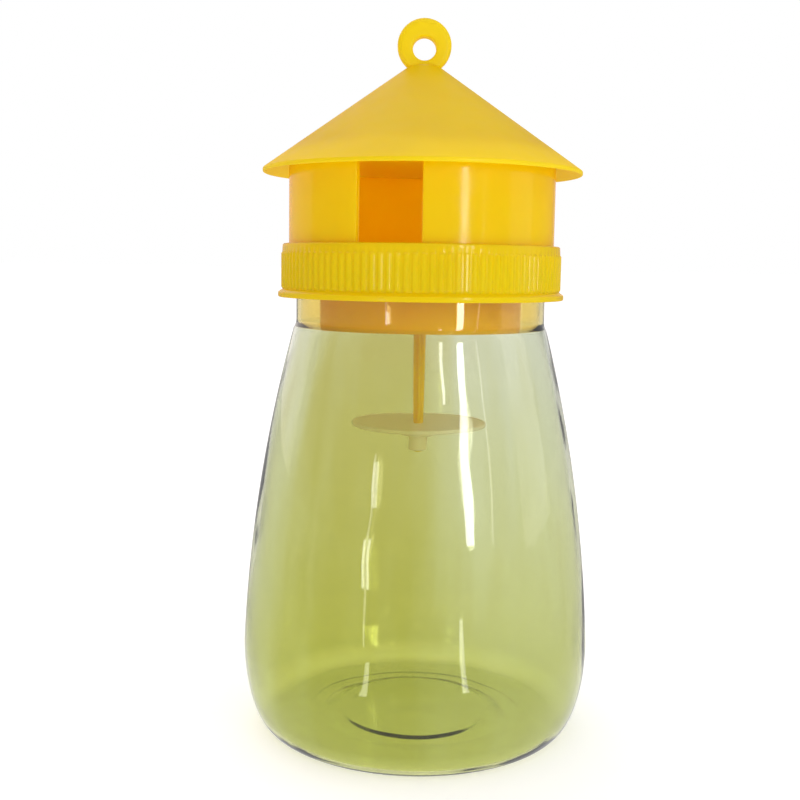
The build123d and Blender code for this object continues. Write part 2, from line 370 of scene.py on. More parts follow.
def bottle_skin(inset, neck_inset, foot_inset, top_z):
    """Profile of the bottle from the middle of its foot up to its rim, drawn in by a wall."""
    foot = [(0.0, PUNT_H + foot_inset)]
    step_end_r = PUNT_R + PUNT_STEP_W / 2
    for step in range(1, FOOT_ROWS + 1):
        share = step / FOOT_ROWS
        drop = PUNT_STEP_H * (0.5 - 0.5 * cos(pi * share))
        foot.append((step_end_r + PUNT_STEP_W * (share - 1), PUNT_H - drop + foot_inset))
    for step in range(1, FOOT_ROWS + 1):
        share = step / FOOT_ROWS
        rise = (PUNT_H - PUNT_STEP_H) * (0.5 + 0.5 * cos(pi * share))
        foot.append((step_end_r + (FOOT_R - step_end_r) * share, rise + foot_inset))
    foot.append((BASE_R, foot_inset))
    corner = []
    for step in range(1, CORNER_ROWS):
        angle = radians(90) * step / CORNER_ROWS
        corner.append((
            BASE_R + (WIDEST_R - BASE_R - inset) * sin(angle),
            WIDEST_Z - (WIDEST_Z - foot_inset) * cos(angle),
        ))
    side = arc_through(
        (WIDEST_R - inset, WIDEST_Z),
        (MIDDLE_R - inset, MIDDLE_Z),
        (SHOULDER_R - inset, SHOULDER_Z),
        SIDE_ROWS,
    )
    neck = []
    for step in range(1, NECK_FOOT_ROWS + 1):
        share = step / NECK_FOOT_ROWS
        foot_r = NECK_R - neck_inset + (SHOULDER_R - inset - NECK_R + neck_inset) * (1 - share) ** 2
        neck.append((foot_r, SHOULDER_Z + (NECK_FOOT_Z + NECK_BLEND_H - SHOULDER_Z) * share))
    neck_h = top_z - NECK_END_H - NECK_FOOT_Z
    for step in range(1, NECK_ROWS):
        neck.append((NECK_R - neck_inset, NECK_FOOT_Z + NECK_START_H + neck_h * step / NECK_ROWS))
    return foot + corner + side + neck


def thread_rise(angle, z):
    """How far the neck's thread stands out of the wall at an angle and a height."""
    turn = (angle / (2 * pi) - THREAD_START) % 1.0
    rise = 0.0
    for lap in (0.0, 1.0):
        along = turn + lap
        if along > THREAD_TURNS:
            continue
        fade = min(1.0, along / THREAD_RUNOUT, (THREAD_TURNS - along) / THREAD_RUNOUT)
        away = abs(z - THREAD_Z - THREAD_LEAD * along) / THREAD_HALF_H
        shape = min(1.0, max(0.0, THREAD_CREST - THREAD_FLANK * away))
        rise = max(rise, fade * shape * (THREAD_TIP_R - NECK_R))
    return rise


def punt_shift(r, z, angle):
    """Spreads the step round the foot's raised middle, except at the front where it is crisp."""
    if z > PUNT_H + FOOT_WALL + HEIGHT_SLACK or r > FOOT_R:
        return 0.0
    away = r - PUNT_R
    share = min(1.0, PUNT_FADE * (1 - cos(angle)))
    return PUNT_SPREAD * share * away * exp(-((away / PUNT_REACH) ** 2))


def outer_bottle_radius(r, z, angle):
    """The bottle's outside, with the thread on its neck and the step in its foot."""
    if NECK_FOOT_Z < z < RIM_Z:
        return r + thread_rise(angle, z)
    return r + punt_shift(r, z, angle)


def inner_bottle_radius(r, z, angle):
    """The wall is uneven inside, as blowing leaves it, in long upright waves."""
    side = Vector((sin(angle) * WAVE_ACROSS, cos(angle) * WAVE_ACROSS, z * WAVE_UP))
    share = min(1.0, max(0.0, (SHOULDER_Z - z) / WAVE_FADE_H)) * min(1.0, r / FOOT_R)
    return r + WALL_WAVE * share * noise.noise(side * WAVE_SCALE) + punt_shift(r, z, angle)


def make_bottle():
    """Bottle as one closed skin: outside, rounded rim and inside."""
    outer = bottle_skin(0.0, 0.0, 0.0, RIM_Z)
    inner = bottle_skin(BOTTLE_WALL, NECK_WALL, FOOT_WALL, RIM_Z)
    rim_r = NECK_R - NECK_WALL / 2
    rim_half = NECK_WALL / 2
    rim = []
    for step in range(RIM_ROWS + 1):
        angle = pi * step / RIM_ROWS
        rim.append((rim_r + rim_half * cos(angle), RIM_Z - rim_half + rim_half * sin(angle)))
    half_rim = RIM_ROWS // 2 + 1
    outer += rim[:half_rim]
    inner += rim[::-1][:half_rim]
    points, faces = lathe_mesh(outer, BOTTLE_SIDES, False, outer_bottle_radius)
    inside, inside_faces = lathe_mesh(inner, BOTTLE_SIDES, False, inner_bottle_radius)
    shift = len(points)
    faces += [[corner + shift for corner in face[::-1]] for face in inside_faces]
    made = mesh_object("bottle_shell", points + inside, faces, BOTTLE_SHARP_ANGLE)
    weld = made.modifiers.new("rim", "WELD")
    weld.merge_threshold = 0.01 * MM
    apply_modifiers(made)
    return made


def rib_radius(r, z, angle):
    """The collar's wall with its upright grip ribs."""
    if abs(r - COLLAR_R) > RADIUS_SLACK or not RIB_LOW_Z - RIB_END_H <= z <= RIB_TOP_Z + RIB_END_H:
        return r
    wave = 0.5 + 0.5 * cos(angle * RIB_COUNT)
    crest = min(1.0, max(0.0, RIB_STEEPNESS * wave - RIB_GAP))
    from_end = min(z - RIB_LOW_Z + RIB_END_H, RIB_TOP_Z + RIB_END_H - z)
    ends = min(1.0, max(0.0, from_end / RIB_END_RISE))
    return r + (RIB_R - COLLAR_R) * crest * ends


def make_collar():
    """Screw collar with its lip and grip ribs, and the deck that closes its top."""
    deck_z = COLLAR_TOP_Z - DECK_T
    rows_h = RIB_TOP_Z - RIB_LOW_Z + 2 * RIB_ROW_REACH
    rib_rows = [
        (COLLAR_R, RIB_LOW_Z - RIB_ROW_REACH + rows_h * step / RIB_ROWS, 0)
        for step in range(RIB_ROWS + 1)
    ]
    profile = rounded([
        (COLLAR_BORE_R, COLLAR_Z, 0.3),
        (LIP_R, COLLAR_Z, 0.35),
        (LIP_R, COLLAR_Z + LIP_H, 0.3),
        (COLLAR_R, COLLAR_Z + LIP_H + LIP_FLARE_H, 0.3),
    ] + rib_rows + [
        (COLLAR_R, COLLAR_TOP_Z, 0.55),
        (DECK_HOLE_R, COLLAR_TOP_Z, 0.3),
        (DECK_HOLE_R, deck_z, 0.3),
        (COLLAR_BORE_R, deck_z, 0.5),
    ])
    return lathe("cap_shell", profile, sides=RIB_COUNT * RIB_STEPS, radius_at=rib_radius)


def wall_plan(start, end, inset):
    """Plan outline of one stretch of house wall between two angles, drawn in by inset."""
    outer_r = HOUSE_R - inset
    inner_r = HOUSE_R - HOUSE_WALL + inset
    pull = (inset + WALL_FILLET) / HOUSE_R
    first = start + pull
    last = end - pull
    sweep = end - start - 2 * pull
    outline = []

    def corner(centre_r, centre_angle, turn_from):
        """Quarter turn about a corner's centre."""
        radial = Vector((sin(centre_angle), -cos(centre_angle)))
        along = Vector((cos(centre_angle), sin(centre_angle)))
        centre = radial * centre_r
        for step in range(WALL_CORNER_STEPS + 1):
            turn = turn_from + radians(90) * step / WALL_CORNER_STEPS
            outline.append(centre + WALL_FILLET * (radial * cos(turn) + along * sin(turn)))

    def face(radius, from_angle, turned):
        """Points of one face of the wall, between its corners."""
        for step in range(1, WALL_ARC_STEPS):
            angle = from_angle + turned * step / WALL_ARC_STEPS
            outline.append(Vector((sin(angle), -cos(angle))) * radius)

    corner(outer_r - WALL_FILLET, first, radians(-90))
    face(outer_r, first, sweep)
    corner(outer_r - WALL_FILLET, last, 0.0)
    corner(inner_r + WALL_FILLET, last, radians(90))
    face(inner_r, last, -sweep)
    corner(inner_r + WALL_FILLET, first, radians(180))
    return outline


def make_wall(index):
    """One stretch of house wall, between two windows, open-topped as the mould leaves it."""
    step_angle = radians(360 / WINDOW_COUNT)
    half = radians(WINDOW_ANGLE / 2)
    start = radians(WINDOW_CENTRE) + step_angle * index + half
    end = start + step_angle - 2 * half
    foot_z = COLLAR_TOP_Z - WALL_SUNK
    rows_h = HOUSE_TOP_Z - COLLAR_TOP_Z - WALL_ROWS_SHORT
    heights = [(foot_z + rows_h * step / WALL_ROWS, 0.0) for step in range(WALL_ROWS)]
    for step in range(WALL_TOP_ROWS + 1):
        angle = radians(90) * step / WALL_TOP_ROWS
        z = HOUSE_TOP_Z - WALL_TOP_FILLET + WALL_TOP_FILLET * sin(angle)
        heights.append((z, WALL_TOP_FILLET * (1 - cos(angle))))
    loops = []
    for z, inset in heights:
        loops.append([(point.x, point.y, z) for point in wall_plan(start, end, inset)])
    return loft(f"wall_{index}", loops)


def make_cap():
    """Screw cap: the collar with the house's walls standing on its deck."""
    walls = [make_wall(index) for index in range(WINDOW_COUNT)]
    return united(make_collar(), walls, CAP_SHARP_ANGLE)


def roof_top_z(radius):
    """Height of the cone's top side at a radius."""
    return EAVE_Z + EAVE_EDGE_H + (EAVE_R - radius) * tan(radians(ROOF_SLOPE))


def make_finial():
    """Hanging loop, a thick ring with rounded edges whose foot is sunk in the cone's tip."""
    rim = rounded([
        (HOLE_R + HOLE_GAP, -LOOP_T / 2, 0.7),
        (LOOP_R, -LOOP_T / 2, 1.5),
        (LOOP_R, LOOP_T / 2, 1.5),
        (HOLE_R + HOLE_GAP, LOOP_T / 2, 0.7),
    ], steps=6)
    ring = lathe("hang_loop", rim, sides=72)
    hole_drop = LOOP_Z - HOLE_Z
    for vertex in ring.data.vertices:
        x, y, z = vertex.co / MM
        reach = hypot(x, y)
        share = max(0.0, 1 - (reach - HOLE_R) / (LOOP_R - HOLE_R))
        vertex.co = Vector((x, z, LOOP_Z + y - hole_drop * share)) * MM
    return ring


def make_roof():
    """Cone roof with its locating ring below and the hanging loop on its tip."""
    spigot_inner_r = SPIGOT_R - SPIGOT_WALL
    tip_z = roof_top_z(TIP_R)
    slope_rows = []
    for step in range(1, SLOPE_ROWS):
        r = EAVE_R - SLOPE_MARGIN + (TIP_R - EAVE_R + SLOPE_MARGIN) * step / SLOPE_ROWS
        slope_rows.append((r, roof_top_z(r), 0))
    profile = rounded([
        (0.0, tip_z - EAVE_EDGE_H, 0),
        (TIP_R, tip_z - EAVE_EDGE_H, 0.8),
        (spigot_inner_r, roof_top_z(spigot_inner_r) - EAVE_EDGE_H, 0.4),
        (spigot_inner_r, SPIGOT_Z, 0.35),
        (SPIGOT_R, SPIGOT_Z, 0.35),
        (SPIGOT_R, roof_top_z(SPIGOT_R) - EAVE_EDGE_H, 0.3),
        (EAVE_R, EAVE_Z, 0.4),
        (EAVE_R, EAVE_Z + EAVE_EDGE_H, 0.5),
    ] + slope_rows + [
        (TIP_R, tip_z, 4.0),
        (0.0, tip_z, 0),
    ], closed=False)
    cone = lathe("roof_cone", profile, sides=192, closed=False)
    return united(cone, [make_finial()])


def make_funnel():
    """Funnel with its skirt, the flange that the cap clamps and the seat for the bridge."""
    flange_top_z = FLANGE_Z + FLANGE_T
    skirt_bore_r = SKIRT_R - SKIRT_WALL
    slope = (MOUTH_R - THROAT_R) / (SEAT_Z - THROAT_TOP_Z)
    throat_outer_r = THROAT_R + FUNNEL_WALL
    cone_drop = FUNNEL_WALL * (1 + slope * slope) ** 0.5 / slope
    join_z = THROAT_TOP_Z - cone_drop + (skirt_bore_r - THROAT_R) / slope
    throat_join_z = THROAT_TOP_Z - cone_drop + (throat_outer_r - THROAT_R) / slope
    profile = rounded([
        (SKIRT_R, SKIRT_Z, 0.3),
        (SKIRT_R, FLANGE_Z, 0.3),
        (FLANGE_R, FLANGE_Z, 0.2),
        (FLANGE_R, flange_top_z, 0.3),
        (LOCATING_R, flange_top_z, 0.2),
        (LOCATING_R, COLLAR_TOP_Z, 0.3),
        (SEAT_R, COLLAR_TOP_Z, 0.3),
        (SEAT_R, SEAT_Z, 0.1),
        (MOUTH_R, SEAT_Z, 0.3),
        (THROAT_R, THROAT_TOP_Z, 1.5),
        (THROAT_R, THROAT_Z, 0.3),
        (throat_outer_r, THROAT_Z, 0.3),
        (throat_outer_r, throat_join_z, 0.6),
        (skirt_bore_r, join_z, 0.6),
        (skirt_bore_r, SKIRT_Z, 0.3),
    ])
    return lathe("funnel", profile[::-1], sides=160)


def make_bridge():
    """Ring, hub and arms across the funnel's mouth, which the rod hangs from."""
    ring_r = SEAT_R - BRIDGE_CLEARANCE
    ring_z = SEAT_Z + BRIDGE_CLEARANCE
    ring_inner_r = ring_r - BRIDGE_RING_W
    ring = lathe("rod_spider", [
        (ring_inner_r, ring_z),
        (ring_r, ring_z),
        (ring_r, BRIDGE_TOP_Z),
        (ring_inner_r, BRIDGE_TOP_Z),
    ], sides=96)
    hub = lathe("hub", [
        (HUB_BORE_R, HUB_Z),
        (HUB_R, HUB_Z),
        (HUB_R, HUB_TOP_Z),
        (HUB_BORE_R, HUB_TOP_Z),
    ], sides=48)
    arm_low_z = HUB_TOP_Z - ARM_H
    funnel_slope = (SEAT_Z - THROAT_TOP_Z) / (MOUTH_R - THROAT_R)
    low_end_r = MOUTH_R - (SEAT_Z - arm_low_z) / funnel_slope - ARM_END_GAP
    outline = [
        (HUB_R - ARM_SUNK_HUB, arm_low_z),
        (low_end_r, arm_low_z),
        (MOUTH_R - ARM_SUNK_RING, ring_z),
        (ring_inner_r + ARM_SUNK_RING, ring_z),
        (ring_inner_r + ARM_SUNK_RING, HUB_TOP_Z),
        (HUB_R - ARM_SUNK_HUB, HUB_TOP_Z),
    ]
    arms = []
    for index in range(ARM_COUNT):
        turn = Matrix.Rotation(radians(ARM_START + 360 * index / ARM_COUNT), 3, "Z")
        loops = []
        for side in (ARM_WIDTH / 2, -ARM_WIDTH / 2):
            loops.append([turn @ Vector((r, side, z)) for r, z in outline])
        arms.append(loft(f"arm_{index}", loops))
    return softened(united(ring, [hub] + arms))


def cross_plan(width, thickness, z):
    """Plan of two crossed blades with rounded tips."""
    reach = width / 2
    half = thickness / 2
    tip = [
        (half, -half),
        (reach - half, -half),
        (reach - half * ROD_TIP_LENGTH, -half * ROD_TIP_WIDTH),
        (reach, 0.0),
        (reach - half * ROD_TIP_LENGTH, half * ROD_TIP_WIDTH),
        (reach - half, half),
    ]
    loop = []
    for quarter in range(4):
        turn = Matrix.Rotation(radians(90 * quarter), 3, "Z")
        loop += [turn @ Vector((x, y, z)) for x, y in tip]
    return loop


def make_rod():
    """Rod of two crossed blades, with its head in the hub and the pin for the disc."""
    blade_top_z = HUB_TOP_Z + ROD_HEAD_T / 2
    loops = []
    for step in range(ROD_ROWS + 1):
        share = step / ROD_ROWS
        width = ROD_END_W + (ROD_TOP_W - ROD_END_W) * share
        z = ROD_SHOULDER_Z + (blade_top_z - ROD_SHOULDER_Z) * share
        loops.append(cross_plan(width, ROD_BLADE_T, z))
    blades = loft("rod", loops)
    pin = lathe("pin", rounded([
        (0.0, PIN_Z, 0),
        (PIN_R, PIN_Z, 0.4),
        (PIN_R, ROD_SHOULDER_Z + PIN_SUNK, 0.3),
        (0.0, ROD_SHOULDER_Z + PIN_SUNK, 0),
    ], closed=False), sides=32, closed=False)
    head = lathe("head", rounded([
        (0.0, HUB_TOP_Z, 0),
        (ROD_HEAD_R, HUB_TOP_Z, 0.2),
        (ROD_HEAD_R, HUB_TOP_Z + ROD_HEAD_T, 0.3),
        (0.0, HUB_TOP_Z + ROD_HEAD_T, 0),
    ], closed=False), sides=48, closed=False)
    return united(blades, [pin, head])


def make_disc():
    """Tray with a thin rim and a hub, loose on the rod's pin."""
    plate_top_z = DISC_Z + DISC_T
    bore_r = PIN_R + DISC_GAP
    profile = rounded([
        (bore_r, DISC_HUB_Z, 0.15),
        (DISC_HUB_R, DISC_HUB_Z, 0.4),
        (DISC_HUB_R, DISC_Z, 0.4),
        (DISC_R, DISC_Z, 0.5),
        (DISC_R, DISC_Z + DISC_RIM_H, 0.3),
        (DISC_R - DISC_RIM_W, DISC_Z + DISC_RIM_H, 0.3),
        (DISC_R - DISC_RIM_W, plate_top_z, 0.3),
        (bore_r, plate_top_z, 0.15),
    ])
    return lathe("disc", profile)


def make_clip():
    """Small collar pushed on the pin under the disc."""
    bore_r = PIN_R + CLIP_GAP
    profile = rounded([
        (bore_r, CLIP_Z, 0.15),
        (CLIP_R, CLIP_Z, 0.3),
        (CLIP_R, CLIP_TOP_Z, 0.3),
        (bore_r, CLIP_TOP_Z, 0.15),
    ])
    return lathe("clip", profile, sides=48)


# ---------------------------------------------------------------- materials

class Nodes:
    """Small helper to write a material's node tree."""

    def __init__(self, name):
        self.material = bpy.data.materials.new(name)
        self.material.use_nodes = True
        self.tree = self.material.node_tree
        self.tree.nodes.clear()
        self.output = self.add("ShaderNodeOutputMaterial")
        self.place = self.add("ShaderNodeTexCoord")

    def add(self, kind, **settings):
        """New node of a kind, with its settings."""
        node = self.tree.nodes.new(kind)
        for key, value in settings.items():
            setattr(node, key, value)
        return node

    def link(self, source, target):
        """Joins an output to an input."""
        self.tree.links.new(source, target)

    def noise(self, scale, detail=2.0, stretch=(1.0, 1.0, 1.0)):
        """Noise in the object's own space, with scale in features per metre."""
        mapping = self.add("ShaderNodeMapping")
        mapping.inputs["Scale"].default_value = stretch
        self.link(self.place.outputs["Object"], mapping.inputs["Vector"])
        texture = self.add("ShaderNodeTexNoise")
        texture.inputs["Scale"].default_value = scale
        texture.inputs["Detail"].default_value = detail
        self.link(mapping.outputs["Vector"], texture.inputs["Vector"])
        return texture.outputs["Fac"]

    def ranged(self, value, low, high, from_low=0.35, from_high=0.65):
        """A value between from_low and from_high, stretched to run from low to high."""
        node = self.add("ShaderNodeMapRange")
        node.inputs["From Min"].default_value = from_low
        node.inputs["From Max"].default_value = from_high
        node.inputs["To Min"].default_value = low
        node.inputs["To Max"].default_value = high
        self.link(value, node.inputs["Value"])
        return node.outputs["Result"]

    def blend(self, factor, first, second):
        """Colour between two colours."""
        node = self.add("ShaderNodeMix", data_type="RGBA")
        self.link(factor, node.inputs[0])
        for socket, colour in ((node.inputs[6], first), (node.inputs[7], second)):
            if isinstance(colour, tuple):
                socket.default_value = (*colour, 1.0)
            else:
                self.link(colour, socket)
        return node.outputs[2]

    def summed(self, first, second):
        """Sum of two values, kept between 0 and 1."""
        node = self.add("ShaderNodeMath", operation="ADD", use_clamp=True)
        self.link(first, node.inputs[0])
        self.link(second, node.inputs[1])
        return node.outputs[0]

    def bumped(self, height, distance, strength, under=None):
        """Bump from a height texture, distance millimetres deep, on top of the bump under it."""
        node = self.add("ShaderNodeBump")
        node.inputs["Distance"].default_value = distance * MM
        node.inputs["Strength"].default_value = strength
        self.link(height, node.inputs["Height"])
        if under is not None:
            self.link(under, node.inputs["Normal"])
        return node.outputs["Normal"]


def coloured_plastic(name, face_colours, glow_colours, roughness=(0.10, 0.18)):
    """Glossy injection-moulded plastic with a little light coming through, clouded between two shades."""
    n = Nodes(name)
    shader = n.add("ShaderNodeBsdfPrincipled")
    cloud = n.ranged(n.noise(45, 3.0), 0.0, 1.0)
    colour = n.blend(cloud, *face_colours)
    n.link(colour, shader.inputs["Base Color"])
    shader.inputs["IOR"].default_value = 1.5
    n.link(n.ranged(n.noise(320, 3.0), *roughness), shader.inputs["Roughness"])
    ripple = n.bumped(n.noise(140, 1.0), 0.05, 0.5)
    n.link(n.bumped(n.noise(2600, 2.0), 0.006, 0.6, ripple), shader.inputs["Normal"])
    glow = n.add("ShaderNodeBsdfTranslucent")
    n.link(n.blend(cloud, *glow_colours), glow.inputs["Color"])
    mix = n.add("ShaderNodeMixShader")
    mix.inputs[0].default_value = TRANSLUCENCE
    n.link(shader.outputs["BSDF"], mix.inputs[1])
    n.link(glow.outputs["BSDF"], mix.inputs[2])
    n.link(mix.outputs["Shader"], n.output.inputs["Surface"])
    return n.material


def yellow_plastic():
    """The cap's plastic."""
    return coloured_plastic(
        "yellow_plastic",
        ((0.94, 0.95, 0.002), (0.98, 1.00, 0.005)),
        ((0.99, 0.58, 0.006), (1.00, 0.62, 0.012)),
    )


def satin_plastic():
    """The roof's plastic, a little greener and duller than the cap's."""
    return coloured_plastic(
        "satin_plastic",
        ((0.90, 0.97, 0.002), (0.94, 1.00, 0.005)),
        ((0.98, 0.63, 0.006), (0.99, 0.67, 0.010)),
        (0.34, 0.44),
    )


def shaded_yellow_plastic():
    """The insert's plastic, thinner than the cap's; it is the cap's yellow with painted shade, more
    orange, for sitting in shadow inside the bottle.
    """
    return coloured_plastic(
        "shaded_yellow_plastic",
        ((1.00, 0.86, 0.002), (1.00, 0.90, 0.004)),
        ((1.00, 0.60, 0.004), (1.00, 0.64, 0.006)),
    )


def milky_plastic():
    """Uncoloured moulded plastic, cream, with light coming through from below."""
    return coloured_plastic(
        "milky_plastic",
        ((0.98, 0.95, 0.80), (1.00, 0.99, 0.88)),
        ((0.98, 0.96, 0.84), (1.00, 1.00, 0.92)),
        (0.28, 0.40),
    )


def clear_bottle():
    """Clear blown plastic with a streaked yellow-green tint.

    It is deeper towards the foot. Paler on the right and the far left: painted reflection of the bright
    studio. Paler at the very foot: painted light against the shade under it. Tan on the neck: painted
    shade and yellow reflection from the cap.
    """
    n = Nodes("clear_bottle")
    shader = n.add("ShaderNodeBsdfPrincipled")
    split = n.add("ShaderNodeSeparateXYZ")
    n.link(n.place.outputs["Object"], split.inputs["Vector"])
    flat = n.add("ShaderNodeCombineXYZ")
    n.link(split.outputs["X"], flat.inputs["X"])
    n.link(split.outputs["Y"], flat.inputs["Y"])
    outward = n.add("ShaderNodeVectorMath", operation="NORMALIZE")
    n.link(flat.outputs["Vector"], outward.inputs[0])
    towards = n.add("ShaderNodeSeparateXYZ")
    n.link(outward.outputs["Vector"], towards.inputs["Vector"])
    height = n.ranged(split.outputs["Z"], 0.0, 1.0, 0.0, SHOULDER_Z * MM)
    deep = n.blend(height, (0.585, 0.615, 0.20), (0.665, 0.655, 0.36))
    # The pale colour is painted reflection of the bright studio. The masks below lay it on the right and
    # at the far left, so that side tint is painted reflection, not the plastic's own colour.
    pale = n.blend(height, (0.65, 0.685, 0.35), (0.76, 0.79, 0.69))
    right = n.ranged(towards.outputs["X"], 0.0, 1.0, -0.05, 0.4)
    left = n.ranged(towards.outputs["X"], 0.0, 0.9, -0.72, -0.84)
    sides = n.summed(right, left)
    streaks = n.ranged(n.noise(90, 3.0, (1.0, 1.0, 0.12)), -0.28, 0.28)
    body = n.blend(n.summed(sides, streaks), deep, pale)
    # Paler in the lowest few millimetres: painted light that lifts the shade under the foot.
    low = n.ranged(split.outputs["Z"], 0.0, 1.0, 7.0 * MM, 2.0 * MM)
    walls = n.blend(low, body, (0.78, 0.81, 0.40))
    # Tan from the shoulder up: painted shade and yellow reflection from the cap above, not the plastic's
    # own tint.
    above = n.ranged(split.outputs["Z"], 0.0, 1.0, SHOULDER_Z * MM, NECK_FOOT_Z * MM)
    colour = n.blend(above, walls, (0.85, 0.73, 0.33))
    n.link(colour, shader.inputs["Base Color"])
    shader.inputs["Transmission Weight"].default_value = 1.0
    shader.inputs["IOR"].default_value = 1.5
    n.link(n.ranged(n.noise(150, 2.0), 0.015, 0.05), shader.inputs["Roughness"])
    long_waves = n.bumped(n.noise(60, 1.0, (1.0, 1.0, 0.7)), 0.5, 0.6)
    n.link(n.bumped(n.noise(300, 2.0), 0.01, 0.3, long_waves), shader.inputs["Normal"])
    passing = n.add("ShaderNodeBsdfTransparent")
    passing.inputs["Color"].default_value = (0.96, 0.96, 0.88, 1.0)
    path = n.add("ShaderNodeLightPath")
    mix = n.add("ShaderNodeMixShader")
    n.link(path.outputs["Is Shadow Ray"], mix.inputs[0])
    n.link(shader.outputs["BSDF"], mix.inputs[1])
    n.link(passing.outputs["BSDF"], mix.inputs[2])
    n.link(mix.outputs["Shader"], n.output.inputs["Surface"])
    return n.material


def floor_paint():
    """Plain pale studio floor."""
    n = Nodes("studio_floor")
    shader = n.add("ShaderNodeBsdfPrincipled")
    cloud = n.ranged(n.noise(3, 2.0), 0.0, 1.0)
    n.link(n.blend(cloud, (0.90, 0.90, 0.90), (0.93, 0.93, 0.93)), shader.inputs["Base Color"])
    shader.inputs["Roughness"].default_value = 0.9
    shader.inputs["Specular IOR Level"].default_value = 0.0
    shader.inputs["Emission Color"].default_value = (1.0, 1.0, 1.0, 1.0)
    shader.inputs["Emission Strength"].default_value = 0.33
    # In plain reflections the floor is dim beyond the trap's foot, so the bottle isn't washed out by it.
    dim = n.add("ShaderNodeEmission")
    dim.inputs["Color"].default_value = (1.0, 1.0, 1.0, 1.0)
    distance = n.add("ShaderNodeVectorMath", operation="LENGTH")
    n.link(n.place.outputs["Object"], distance.inputs[0])
    away = distance.outputs["Value"]
    strength = n.ranged(away, FLOOR_NEAR, FLOOR_MIRRORED, NEAR_FROM * MM, NEAR_TO * MM)
    n.link(strength, dim.inputs["Strength"])
    path = n.add("ShaderNodeLightPath")
    mirrored = n.add("ShaderNodeMath", operation="SUBTRACT", use_clamp=True)
    n.link(path.outputs["Is Glossy Ray"], mirrored.inputs[0])
    n.link(path.outputs["Is Transmission Ray"], mirrored.inputs[1])
    mix = n.add("ShaderNodeMixShader")
    n.link(mirrored.outputs[0], mix.inputs[0])
    n.link(shader.outputs["BSDF"], mix.inputs[1])
    n.link(dim.outputs["Emission"], mix.inputs[2])
    n.link(mix.outputs["Shader"], n.output.inputs["Surface"])
    return n.material


# ---------------------------------------------------------------- studio

def make_floor():
    """Wide flat floor, which isn't part of the trap."""
    profile = [(0.0, FLOOR_Z), (FLOOR_NEAR_R, FLOOR_Z), (FLOOR_R, FLOOR_Z)]
    points, faces = lathe_mesh(profile, sides=64, closed=False)
    floor = mesh_object("floor", points, [face[::-1] for face in faces])
    floor.data.materials.append(floor_paint())


def make_world():
    """Plain studio surroundings: dim in front, brighter above and at the left rear, white behind."""
    world = bpy.data.worlds.new("studio")
    bpy.context.scene.world = world
    world.use_nodes = True
    tree = world.node_tree
    tree.nodes.clear()

    def ranged(value, from_low, from_high, to_low, to_high):
        """A value between from_low and from_high, stretched to run from to_low to to_high."""
        node = tree.nodes.new("ShaderNodeMapRange")
        node.inputs["From Min"].default_value = from_low
        node.inputs["From Max"].default_value = from_high
        node.inputs["To Min"].default_value = to_low
        node.inputs["To Max"].default_value = to_high
        tree.links.new(value, node.inputs["Value"])
        return node.outputs["Result"]

    def math(operation, first, second):
        """Sum, product or the like of two values."""
        node = tree.nodes.new("ShaderNodeMath")
        node.operation = operation
        for socket, value in ((node.inputs[0], first), (node.inputs[1], second)):
            if isinstance(value, float):
                socket.default_value = value
            else:
                tree.links.new(value, socket)
        return node.outputs[0]

    def background(strength, colour=None):
        """Surroundings of a strength, white unless a colour is given."""
        node = tree.nodes.new("ShaderNodeBackground")
        node.inputs["Color"].default_value = (1.0, 1.0, 1.0, 1.0)
        if colour is not None:
            tree.links.new(colour, node.inputs["Color"])
        if isinstance(strength, float):
            node.inputs["Strength"].default_value = strength
        else:
            tree.links.new(strength, node.inputs["Strength"])
        return node.outputs["Background"]

    place = tree.nodes.new("ShaderNodeTexCoord")
    split = tree.nodes.new("ShaderNodeSeparateXYZ")
    tree.links.new(place.outputs["Generated"], split.inputs["Vector"])
    edge = radians(REAR_LIGHT_FROM)
    past_edge = math("ADD",
                     math("MULTIPLY", split.outputs["X"], -cos(edge)),
                     math("MULTIPLY", split.outputs["Y"], -sin(edge)))
    rear_left = math("MULTIPLY",
                     ranged(past_edge, 0.0, 0.05, 0.0, 1.0),
                     ranged(split.outputs["X"], -0.1, 0.3, 1.0, 0.0))
    overhead = ranged(split.outputs["Z"], 0.25, 0.8, FRONT_RADIANCE, OVERHEAD_RADIANCE)
    behind = ranged(split.outputs["Y"], 0.87, 0.97, 0.0, 1.0)
    lit = math("ADD", overhead, math("MULTIPLY", math("MAXIMUM", rear_left, behind), REAR_LIGHT_GAIN))
    warmth = tree.nodes.new("ShaderNodeMix")
    warmth.data_type = "RGBA"
    tree.links.new(ranged(split.outputs["X"], -0.8, 0.2, 0.0, 1.0), warmth.inputs[0])
    warmth.inputs[6].default_value = WARM_SIDE
    warmth.inputs[7].default_value = (1.0, 1.0, 1.0, 1.0)
    path = tree.nodes.new("ShaderNodeLightPath")
    mix = tree.nodes.new("ShaderNodeMixShader")
    # Rays that come out through clear plastic see the same white as the camera does.
    passed = math("SUBTRACT", path.outputs["Is Transmission Ray"], path.outputs["Is Diffuse Ray"])
    seen = math("MAXIMUM", path.outputs["Is Camera Ray"], passed)
    tree.links.new(seen, mix.inputs[0])
    tree.links.new(background(lit, warmth.outputs[2]), mix.inputs[1])
    tree.links.new(background(1.0), mix.inputs[2])
    output = tree.nodes.new("ShaderNodeOutputWorld")
    tree.links.new(mix.outputs["Shader"], output.inputs["Surface"])


